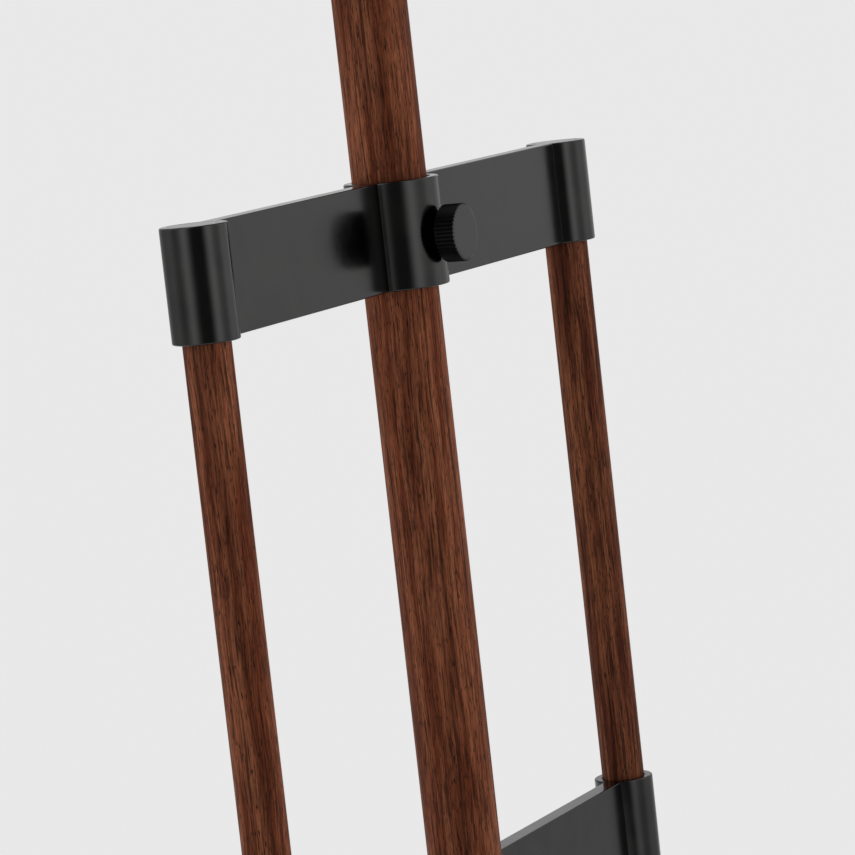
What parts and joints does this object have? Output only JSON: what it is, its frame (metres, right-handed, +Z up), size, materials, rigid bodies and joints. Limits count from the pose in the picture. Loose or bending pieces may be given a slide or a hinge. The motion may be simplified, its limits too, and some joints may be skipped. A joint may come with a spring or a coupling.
{
  "type": "artist easel",
  "caption": "Leaning floor easel with round wooden posts, flat metal brackets, a sliding mast with thumbscrews, a canvas ledge, a top holder and a folding rear leg.",
  "frame": {"origin": "middle of the footprint of the three feet, on the floor", "axes": "+Z up, +Y to the back where the rear leg stands, +X to the right as seen from the front"},
  "size_m": [0.4824, 0.3544, 1.5906],
  "materials": {
    "dark_wood": "oiled, satin, long dark grain",
    "dark_metal": "dark satin anodised",
    "black_knob": "black anodised, knurled edge",
    "steel": "satin",
    "rubber": "matt",
    "nylon": "matt"
  },
  "bodies": {
    "frame": {"side_post_left": "dark_wood", "side_post_right": "dark_wood", "upper_bracket": "dark_metal", "lower_bracket": "dark_metal", "sleeve_plug_left": "dark_metal", "sleeve_plug_right": "dark_metal", "grub_screws": "steel", "foot_ferrule_left": "dark_metal", "foot_ferrule_right": "dark_metal", "foot_pad_left": "rubber", "foot_pad_right": "rubber", "hinge_bracket": "dark_metal", "hinge_bracket_screws": "steel", "hinge_pin": "steel", "hinge_pin_clip": "steel"},
    "mast": {"mast": "dark_wood", "mast_top_cap": "dark_metal", "mast_foot_cap": "rubber"},
    "lock_press": {"lock_tip": "nylon"},
    "lock_screw": {"lock_knob": "black_knob", "lock_stud": "steel"},
    "ledge": {"ledge_collar": "dark_metal", "ledge_plate": "dark_metal", "ledge_board": "dark_wood", "ledge_lip": "dark_wood", "ledge_plate_screws": "steel", "ledge_board_screws": "steel", "ledge_lip_screws": "steel"},
    "ledge_press": {"ledge_tip": "nylon"},
    "ledge_screw": {"ledge_knob": "black_knob", "ledge_stud": "steel"},
    "holder": {"holder_collar": "dark_metal", "holder_plate": "dark_metal", "holder_board": "dark_wood", "holder_lip": "dark_wood", "holder_plate_screws": "steel", "holder_board_screws": "steel", "holder_lip_screws": "steel"},
    "holder_press": {"holder_tip": "nylon"},
    "holder_screw": {"holder_knob": "black_knob", "holder_stud": "steel"},
    "leg": {"leg_socket": "dark_metal", "leg_socket_screw": "steel", "rear_leg": "dark_wood", "rear_ferrule": "dark_metal", "rear_foot_pad": "rubber"}
  },
  "joints": [
    {"name": "mast_slide", "type": "slide", "parent": "frame", "child": "mast", "axis": [0, 0.1219, 0.9925], "range_m": [-0.11, 0.18]},
    {"name": "ledge_slide", "type": "slide", "parent": "mast", "child": "ledge", "axis": [0, 0.1219, 0.9925], "range_m": [-0.05, 0.2]},
    {"name": "holder_slide", "type": "slide", "parent": "mast", "child": "holder", "axis": [0, 0.1219, 0.9925], "range_m": [-0.2, 0.09]},
    {"name": "leg_fold", "type": "hinge", "parent": "frame", "child": "leg", "pos_m": [0, -0.06771, 0.36177], "axis": [1, 0, 0], "range_deg": [-39, 0]},
    {"name": "lock_travel", "type": "slide", "parent": "frame", "child": "lock_press", "axis": [0, -0.9925, 0.1219], "range_m": [0, 0.00201]},
    {"name": "lock_turn", "type": "hinge", "parent": "lock_press", "child": "lock_screw", "pos_m": [0, -0.11034, 0.7498], "axis": [0, -0.9925, 0.1219], "range_deg": [0, 720]},
    {"name": "ledge_travel", "type": "slide", "parent": "ledge", "child": "ledge_press", "axis": [0, 0.9925, -0.1219], "range_m": [0, 0.00201]},
    {"name": "ledge_turn", "type": "hinge", "parent": "ledge_press", "child": "ledge_screw", "pos_m": [0, -0.00066, 0.97018], "axis": [0, 0.9925, -0.1219], "range_deg": [0, 720]},
    {"name": "holder_travel", "type": "slide", "parent": "holder", "child": "holder_press", "axis": [0, 0.9925, -0.1219], "range_m": [0, 0.00201]},
    {"name": "holder_turn", "type": "hinge", "parent": "holder_press", "child": "holder_screw", "pos_m": [0, 0.05753, 1.44412], "axis": [0, 0.9925, -0.1219], "range_deg": [0, 720]}
  ],
  "couplings": [
    {"joint": "lock_travel", "follows": "lock_turn", "m_per_rad": 0.00015915},
    {"joint": "ledge_travel", "follows": "ledge_turn", "m_per_rad": 0.00015915},
    {"joint": "holder_travel", "follows": "holder_turn", "m_per_rad": 0.00015915}
  ]
}
